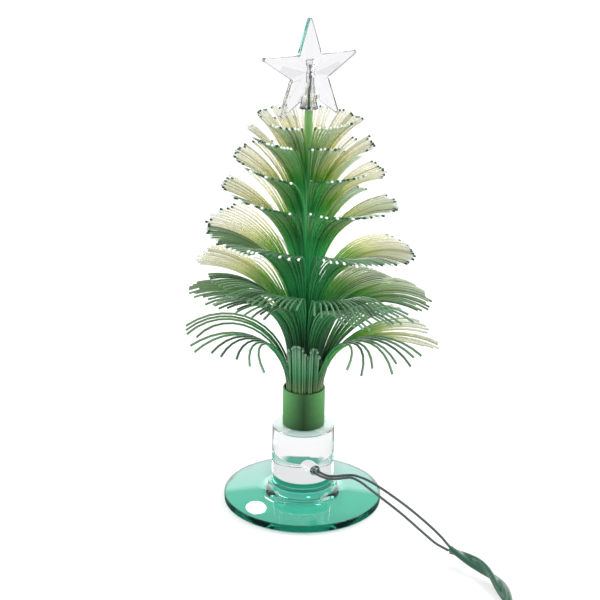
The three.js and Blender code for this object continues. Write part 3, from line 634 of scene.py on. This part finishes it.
# Fibres: some 600 thin plastic light fibres, held in the collar, that rise round the stem and leave
# it in eight tiers of fronds, curled outwards with heat. They are green, and at the tree's sides
# pale and half clear towards their cut ends, which have a bead in the upper five tiers. Their colour
# carries painted shade low in the tree, painted sheen on the front fronds, painted glints on the
# beads and a painted glow in the column.
fibre = bpy.data.materials.new("fibre")
fibre.use_nodes = True
nodes, link = fibre.node_tree.nodes, fibre.node_tree.links.new
shader = nodes["Principled BSDF"]
own = {}
for key in ("along", "pale", "pick", "frost", "bead"):
    reader = nodes.new("ShaderNodeAttribute")
    reader.attribute_name = key
    own[key] = reader.outputs["Fac"]
z = parts_of(nodes.new("ShaderNodeTexCoord").outputs["Object"])[2]
height = step_of(z, 0.045, 0.17)
inside = step_of(own["along"], 0.1, 0.5, 1.0, 0.0)
greens = color_ramp(own["along"], [(0.0, (0.110, 0.820, 0.270)), (0.2, (0.090, 0.740, 0.220)),
                                   (0.5, (0.045, 0.480, 0.130)), (0.75, (0.050, 0.380, 0.085)),
                                   (1.0, (0.100, 0.350, 0.090))])
pales = color_ramp(own["along"], [(0.0, (0.130, 0.820, 0.220)), (0.22, (0.110, 0.680, 0.130)),
                                  (0.46, (0.140, 0.480, 0.045)), (0.59, (0.400, 0.640, 0.100)),
                                  (0.7, (0.940, 0.930, 0.440)), (0.82, (1.0, 0.975, 0.700)),
                                  (1.0, (1.0, 0.990, 0.840))])
# Painted shade and light: the inner column is painted darker low in the tree and lighter at its top, and
# the fronds' outer parts darker low in the tree, standing in for the shade under the fronds above.
painted_column_shade = color_ramp(height, [(0.0, (1.5, 0.34, 0.36)), (0.1, (0.3, 0.14, 0.18)), (0.28, (0.1, 0.12, 0.12)),
                            (0.36, (0.26, 0.34, 0.34)), (0.5, (0.36, 0.64, 0.6)),
                            (0.62, (0.7, 1.0, 0.95)), (0.78, (1.15, 1.15, 1.1))])
outer = color_ramp(height, [(0.2, grey(0.42)), (0.6, grey(0.6)), (0.85, grey(1.0))])
color = color_mix("MULTIPLY", 1.0, greens, color_mix("MIX", inside, outer, painted_column_shade))
color = color_mix("MIX", own["pale"], color, color_mix("MULTIPLY", inside, pales, painted_column_shade))
# Painted sheen: the front fronds' outer parts are mixed to a light sage green, standing in for the sheen
# of light on them.
color = color_mix("MIX", own["frost"], color, (0.17, 0.32, 0.215, 1))
shades = color_ramp(own["pick"], [(0.0, grey(0.45)), (0.16, grey(0.55)),
                                  (0.24, grey(0.85)), (1.0, grey(1.1))])
veins = color_ramp(own["pick"], [(0.0, (0.62, 0.62, 0.5)), (0.17, (0.68, 0.68, 0.56)),
                                 (0.24, grey(0.97)), (1.0, grey(1.0))])
color = color_mix("MULTIPLY", 1.0, color, color_mix("MIX", own["pale"], shades, veins))
# Painted glints: the beads are painted near white or dark green at random, the white ones standing in for
# glints of light on the cut ends.
painted_bead_glints = color_ramp(own["pick"], [(0.45, (0.02, 0.10, 0.05)), (0.55, (0.95, 1.0, 0.97))])
color = color_mix("MIX", step_of(own["bead"], 0.975, 0.985), color, painted_bead_glints)
link(color, shader.inputs["Base Color"])
# Painted glow: the inner column gives off a faint green light of its own, standing in for light the fibres
# carry; it is no lamp.
painted_column_glow = color_ramp(height, [(0.36, grey(0.0)), (0.46, (0.004, 0.05, 0.016)), (0.56, (0.02, 0.11, 0.04)),
                           (0.64, (0.07, 0.18, 0.085)), (0.76, (0.07, 0.19, 0.09)),
                           (0.95, (0.03, 0.08, 0.04))])
link(color_mix("MULTIPLY", 1.0, painted_column_glow, inside), shader.inputs["Emission Color"])
shader.inputs["Emission Strength"].default_value = 1.0
shader.inputs["Roughness"].default_value = 0.16
shader.inputs["IOR"].default_value = 1.49
shader.inputs["Specular IOR Level"].default_value = 0.35
clear_end = figure("MULTIPLY", step_of(own["along"], 0.35, 0.85, 0.0, 0.8), own["pale"])
link(clear_end, shader.inputs["Transmission Weight"])

# Each tier from the lowest up: root height, reach and height of the tips over the root in mm,
# sideways tilt, and its fronds as (first and last azimuth in degrees, fibres, first and last
# paleness, painted sheen, first and last lift of the tips in mm, share of the reach). The two short
# fronds of the lowest tier are upright combs.
tiers = [
    (50, 52.3, 23.5, 0.03, [
        (178, 214, 6, 0.2, 0.1, 0.3, 0, 2, 0.98), (222, 252, 5, 0.1, 0.1, 0.4, 3, 2, 0.97),
        (253.3, 270.7, 11, 0.1, 0.1, 0.9, 0, 0, 0.46), (273.6, 284.5, 8, 0.1, 0.1, 0.85, 0, -1, 0.46),
        (289, 331, 8, 0.1, 0.1, 0.4, 3, 1, 0.99), (346, 23, 11, 0.75, 0.5, 0, 0, -1, 0.96),
        (40, 85, 12, 0.4, 0.4, 0, 0, 0, 0.96), (98, 145, 12, 0.4, 0.4, 0, 0, 0, 0.96)]),
    (64, 48.6, 26, 0.05, [
        (172, 200, 12, 0.15, 0.1, 0, 0, 1, 0.98), (208, 250, 12, 0.1, 0.1, 0.3, 3, 5, 0.95),
        (290, 330, 12, 0.1, 0.1, 0.6, 4, 2, 0.95), (338, 28, 16, 0.1, 0.4, 0, 2, 0, 0.97),
        (36, 60, 10, 0.3, 0.4, 0, 0, 0, 0.9), (80, 125, 14, 0.7, 0.7, 0, 0, 0, 1.0)]),
    (67.5, 45.8, 32.5, 0.08, [
        (150, 184, 11, 1.0, 0.9, 0, 0, 0, 1.0), (203, 224, 8, 0.1, 0.05, 0, 1, 0, 0.97),
        (228, 266, 13, 0.05, 0.0, 0.35, -1, 0, 1.0), (274, 316, 14, 0.0, 0.1, 0.4, -1, -3, 1.0),
        (18, 58, 13, 0.25, 0.4, 0, -7, -7, 0.88), (80, 125, 15, 0.7, 0.7, 0, 0, 0, 1.0)]),
    (81, 42.1, 33.5, 0.10, [
        (134, 181, 12, 1.0, 0.95, 0, 2, 1, 0.99), (185, 204, 7, 0.3, 0.1, 0.1, 1, 0, 0.99),
        (208, 236, 9, 0.1, 0.05, 0.15, 0, 1, 0.99), (237, 266, 12, 0.05, 0.0, 0.3, 3, 4, 0.99),
        (276, 324, 15, 0.0, 0.2, 0.4, 5, 1, 0.99), (330, 38, 18, 0.7, 1.0, 0, 0, -4, 0.98),
        (58, 112, 13, 0.8, 0.8, 0, 0, 0, 1.0)]),
    (96, 34.8, 37, 0.09, [
        (158, 192, 10, 1.0, 1.0, 0, 0, 0, 1.0), (206, 262, 18, 0.35, 0.0, 0.1, 0, 1, 1.0),
        (272, 282, 4, 0.1, 0.0, 0.2, 2, 1, 1.0), (286, 324, 13, 0.0, 0.4, 0.1, 1, 0, 1.0),
        (336, 28, 14, 0.5, 0.8, 0, 0, -3, 0.99), (48, 58, 7, 0.3, 0.3, 0, -4, -4, 1.0),
        (75, 138, 15, 0.95, 0.95, 0, 0, 0, 0.98)]),
    (110, 30.3, 35.5, 0.10, [
        (150, 206, 15, 1.0, 1.0, 0, 0, 0, 1.0), (213, 258, 15, 0.35, 0.0, 0.05, -1, -1, 1.0),
        (272, 280, 4, 0.1, 0.1, 0.1, 1, 1, 1.0), (285, 318, 11, 0.0, 0.7, 0, 1, 3, 0.98),
        (338, 34, 13, 1.0, 1.0, 0, 0, -2, 0.98), (44, 62, 8, 0.5, 0.5, 0, -1, -1, 0.98),
        (75, 138, 15, 1.0, 1.0, 0, 0, 0, 1.0)]),
    (121, 24.7, 35.2, 0.12, [
        (165, 186, 7, 0.9, 0.9, 0, 0, 0, 1.0), (208, 258, 16, 0.5, 0.1, 0, -1, 0, 1.01),
        (271, 302, 10, 0.1, 0.9, 0, 1, 2, 0.98), (335, 22, 12, 1.0, 1.0, 0, 0, 0, 1.0),
        (38, 78, 10, 1.0, 1.0, 0, -3, -1, 0.97), (96, 140, 12, 1.0, 1.0, 0, 0, 0, 1.0)]),
    (129, 20.0, 34.2, 0.05, [
        (152, 192, 10, 0.9, 1.0, 0, 0, 0, 1.02), (222, 263, 12, 0.7, 0.2, 0, -1, 0, 1.0),
        (277, 335, 14, 0.2, 1.0, 0, 1, 2, 1.0), (2, 52, 12, 1.0, 1.0, 0, 0, 0, 1.0),
        (64, 98, 9, 1.0, 1.0, 0, 0, 0, 1.0), (106, 140, 9, 1.0, 1.0, 0, 0, 0, 1.0)]),
]
bundle_radius, bundle_foot, ring_offset = 7.7, 46.3, 0.15
bundle_step = (bundle_radius - 1.6 - 0.9) / 8
lower_loose, lower_thick = 2.6, (1.25, 1.12)
half_layer, root_to_tip, late_turn, sideways_reach = 0.26, 0.7, 1.6, 0.045
front_left, front, front_right, front_parting = 205, 270, 335, 0.3
comb_below, comb_radius, comb_out, comb_up = 0.6, 7.1, 26.5, 28.4
comb_drop, comb_fall, comb_width, comb_spread = 4.6, 0.94, 0.85, 0.18
steps_along = [step / 13 for step in range(13)] + [0.984, 1.0]


def nearest(angle):
    """The same angle from -180 to 180 degrees."""
    return (angle + 180) % 360 - 180


def width_of(frond):
    """The degrees from its first azimuth to its last."""
    first, last = frond[:2]
    return last - first + (360 if last < first else 0)


def root_ring(t):
    """Each frond of a tier with the azimuths at which its fibres leave the bundle, in degrees."""
    fronds = tiers[t][4]
    total = sum(f[2] for f in fronds)
    out, start = [], 0.0
    for frond in fronds:
        own_share = 360 * frond[2] / total
        out.append((frond, [start + own_share * (i + 0.5) / frond[2] for i in range(frond[2])]))
        start += own_share
    wanted = sum(nearest(f[0] + width_of(f) / 2 - sum(a) / len(a)) * f[2] for f, a in out) / total
    return [(f, [a + wanted for a in angles]) for f, angles in out]


def fibre_lines(t, rng):
    """Every fibre of a tier as its points, from the bundle's foot or the root below to its cut end."""
    root_height, reach, rise, tilt, _ = tiers[t]
    root_radius = bundle_radius - bundle_step * (t + 1) + ring_offset
    low = bundle_foot if t == 0 else tiers[t - 1][0]
    loose = 1.0 if t > 1 else lower_loose
    thick = lower_thick[t] if t < 2 else 1.0
    lines = []
    for frond, angles in root_ring(t):
        first, last, count, pale_a, pale_b, frost, lift_a, lift_b, share = frond
        comb = share < comb_below
        for i, root_angle in enumerate(angles):
            k = i / (count - 1)
            side = 2 * k - 1
            tip_angle = first + width_of(frond) * k
            root_angle += root_to_tip * nearest(tip_angle - root_angle)
            if t == 0 and front_left < tip_angle < front:
                root_angle = front_left + front_parting * (tip_angle - front_left)
            elif t == 0 and front <= tip_angle < front_right:
                root_angle = front_right - front_parting * (front_right - tip_angle)
            tip_angle += rng.uniform(-0.5, 0.5) * loose
            across = math.cos(math.radians(tip_angle))
            away = reach * share * (1 + sideways_reach * across)
            up = rise + lift_a + (lift_b - lift_a) * k - tilt * away * across
            start = root_radius
            if comb:
                aside = comb_width * away * across
                start = math.sqrt(comb_radius ** 2 - aside * aside)
                away = comb_out
                up = comb_up + lift_b - comb_drop * (1 - math.sqrt(1 - comb_fall * side * side))
            span = away - start
            bend = 2 * math.atan(span / up)
            bend_radius = span / (1 - math.cos(bend))
            end = 1.0 if comb else 1 + rng.uniform(-0.03, 0.012) * loose
            turn_by = nearest(tip_angle - root_angle)
            layer = half_layer * (1 if i % 2 else -1)
            chance = rng.random()
            points = [(root_radius + layer, root_angle, low, 0.0)]
            for u in steps_along:
                angle = bend * u * end
                out = root_radius + layer * (1 - u) + bend_radius * (1 - math.cos(angle))
                turn = root_angle + turn_by * u ** late_turn
                if comb:
                    out += start - root_radius
                    wide = aside * (1 + comb_spread * u)
                    out, turn = math.hypot(out, wide), front + math.degrees(math.atan2(wide, out))
                points.append((out, turn, root_height + bend_radius * math.sin(angle), u))
            if comb:
                points[0] = (points[1][0], points[1][1], low, 0.0)
            lines.append((points, pale_a + (pale_b - pale_a) * k, frost, chance, thick))
    return lines


# A piece holds two tiers and the lower ends of the next tier's fibres, which rise inside them. It
# begins just under its lowest roots.
rng = random.Random(11)
all_lines = [fibre_lines(t, rng) for t in range(8)]
slice_lead, slice_gap = 1.0, 0.3
fibre_radius, root_size, bead_size, bead_from, beaded_from = 0.00042, 0.8, 1.15, 0.98, 3
pale_sooner, painted_sheen_from, painted_sheen_over = 0.035, 0.1, 0.6
for node, first, last in (("fibres_bottom", 0, 1), ("fibres_lower", 2, 3), ("fibres_upper", 4, 5),
                          ("fibres_top", 6, 7)):
    floor_z = bundle_foot if first == 0 else tiers[first][0] - slice_lead + slice_gap
    ceiling_z = tiers[last + 1][0] - slice_lead if last < 7 else None
    verts, edges = [], []
    values = {"along": [], "pale": [], "pick": [], "frost": [], "bead": [], "size": []}
    for t in range(first, min(last + 2, 8)):
        for points, pale, frost, chance, girth in all_lines[t]:
            radius, turn, low, _ = points[0]
            if t > last:
                strand = [(radius, turn, low, 0.0), (radius, turn, ceiling_z, 0.0)]
            else:
                strand = [(radius, turn, max(low, floor_z), 0.0)] + points[1:]
            for k, (radius, turn, height, u) in enumerate(strand):
                verts.append((radius * math.cos(math.radians(turn)) / 1000,
                              radius * math.sin(math.radians(turn)) / 1000, height / 1000))
                if k:
                    edges.append((len(verts) - 2, len(verts) - 1))
                values["along"].append(u ** (1 - pale_sooner * t))
                values["pale"].append(pale)
                values["pick"].append(chance)
                values["frost"].append(frost * min(1, max(0, (u - painted_sheen_from) / painted_sheen_over)))
                values["bead"].append(u if t >= beaded_from else 0.0)
                at_bead = t >= beaded_from and u > bead_from
                thickness = (root_size + (1 - root_size) * u) * girth
                values["size"].append(bead_size if at_bead else thickness)
    spray = line_object(node + "_spray", verts, values, edges)
    swept(spray, fibre_radius, 6, fibre)
    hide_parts(node)
    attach(spray, "tree")


# Star and socket: clear moulded plastic. The socket turns on the stem's pin, and the star pushes
# over its spigot. The star has a rounded rim, painted dark grey where it curves as painted shade for its
# dark edges, and one side of its top point is painted green as a painted reflection.
star_turn = 27
star_front = (0.454, -0.891, 0)
clear = glass("clear_plastic", (0.965, 0.955, 0.985), 1.47)
nodes, link = clear.node_tree.nodes, clear.node_tree.links.new
place = nodes.new("ShaderNodeTexCoord").outputs
x, _, z = parts_of(place["Object"])
facing_x, _, facing_z = parts_of(place["Normal"])
color = color_mix("MIX", cloud_of(place["Object"], 90), (0.955, 0.945, 0.98, 1), (0.985, 0.98, 0.99, 1))
to_front = figure("ABSOLUTE", vector_figure("DOT_PRODUCT", place["Normal"], star_front))
from_middle = vector_figure("LENGTH", vector_figure("MULTIPLY", place["Object"], (1, 1, 0)))
off_boss = figure("MAXIMUM", step_of(from_middle, 0.0027, 0.0032), step_of(z, 0.1868, 0.1874))
# Painted shade: where the rim curves round, off the boss, the clear plastic is painted dark grey, standing
# in for the dark edges that clear plastic shows.
rim_curve = figure("MULTIPLY", step_of(to_front, 0.85, 0.75), step_of(to_front, 0.08, 0.2))
color = color_mix("MIX", figure("MULTIPLY", rim_curve, off_boss), color, (0.16, 0.17, 0.18, 1))
# Painted reflection: the flank of the top point that faces left is painted green, standing in for the
# green that it mirrors.
faces_left = figure("MULTIPLY", step_of(facing_x, -0.45, -0.6), step_of(facing_z, -0.1, 0.1))
top_point = figure("MULTIPLY", step_of(z, 0.1862, 0.1872), step_of(x, -0.009, -0.008))
color = color_mix("MIX", figure("MULTIPLY", faces_left, top_point), color, (0.02, 0.5, 0.33, 1))
link(color, nodes["Principled BSDF"].inputs["Base Color"])
dress("star_socket", clear)


def rounded_outline(corners, radii, steps):
    """The closed outline through the corners with each one rounded to its own radius."""
    out = []
    count = len(corners)
    for i in range(count):
        a, b, c = (Vector(corners[(i + k) % count]) for k in (-1, 0, 1))
        back, ahead = (a - b).normalized(), (c - b).normalized()
        half = back.angle(ahead) / 2
        centre = b + (back + ahead).normalized() * radii[i] / math.sin(half)
        reach = radii[i] / math.tan(half)
        first, last = b + back * reach - centre, b + ahead * reach - centre
        middle = [first.slerp(last, k / steps) for k in range(1, steps)]
        out += [centre + spoke for spoke in [first] + middle + [last]]
    return out


point_reach, notch_reach, point_round, notch_round = 22.6, 8.3, 0.85, 0.8
rim_half, rim_round, apex_half = 1.3, 0.4, 3.2
star_height = 0.1808
corners, radii = [], []
for i in range(10):
    angle = math.pi / 2 + math.pi * i / 5
    reach = notch_reach if i % 2 else point_reach
    corners.append((reach * math.cos(angle), reach * math.sin(angle)))
    radii.append(notch_round if i % 2 else point_round)
outline = rounded_outline(corners, radii, 8)
count = len(outline)
normals = []
for i in range(count):
    along = (outline[(i + 1) % count] - outline[i - 1]).normalized()
    normals.append(Vector((along.y, -along.x)))
back_half = [(rim_half - rim_round + rim_round * math.sin(math.radians(a)),
              rim_round * (1 - math.cos(math.radians(a)))) for a in range(90, -1, -15)]
front_half = [(-y, inset) for y, inset in reversed(back_half)]
build = bmesh.new()
rings = []
for y, inset in back_half + front_half:
    ring = []
    for p, n in zip(outline, normals):
        q = p - n * inset
        ring.append(build.verts.new((q.x / 1000, y / 1000, star_height + q.y / 1000)))
    rings.append(ring)
for first, second in zip(rings, rings[1:]):
    for i in range(count):
        build.faces.new((first[i], first[(i + 1) % count], second[(i + 1) % count], second[i]))
for ring, y in ((rings[0], apex_half), (rings[-1], -apex_half)):
    apex = build.verts.new((0, y / 1000, star_height))
    for i in range(count):
        build.faces.new((ring[i], ring[(i + 1) % count], apex))
bmesh.ops.recalc_face_normals(build, faces=build.faces)
mesh = bpy.data.meshes.new("star_clear")
build.to_mesh(mesh)
build.free()
star = bpy.data.objects.new("star_clear", mesh)
scene.collection.objects.link(star)
boss = turned("boss", [(0, 171.9), (2.5, 171.9), (2.5, 186.2), (2.2, 186.5), (0, 186.5)], 64)
bore = turned("bore", [(0, 170), (1.8, 170), (1.8, 185.6), (1.5, 185.9), (0, 185.9)], 64)
seat = turned("seat", [(0, 164), (4, 164), (4, 171.9), (0, 171.9)], 64)
worked(star, [(boss, "UNION"), (bore, "DIFFERENCE"), (seat, "DIFFERENCE")])
star.data.transform(Matrix.Rotation(math.radians(star_turn), 4, "Z"))
star.data.polygons.foreach_set("use_smooth", [True] * len(star.data.polygons))
creased(star, 25)
star.data.materials.append(clear)
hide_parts("star_topper")
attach(star, "star")
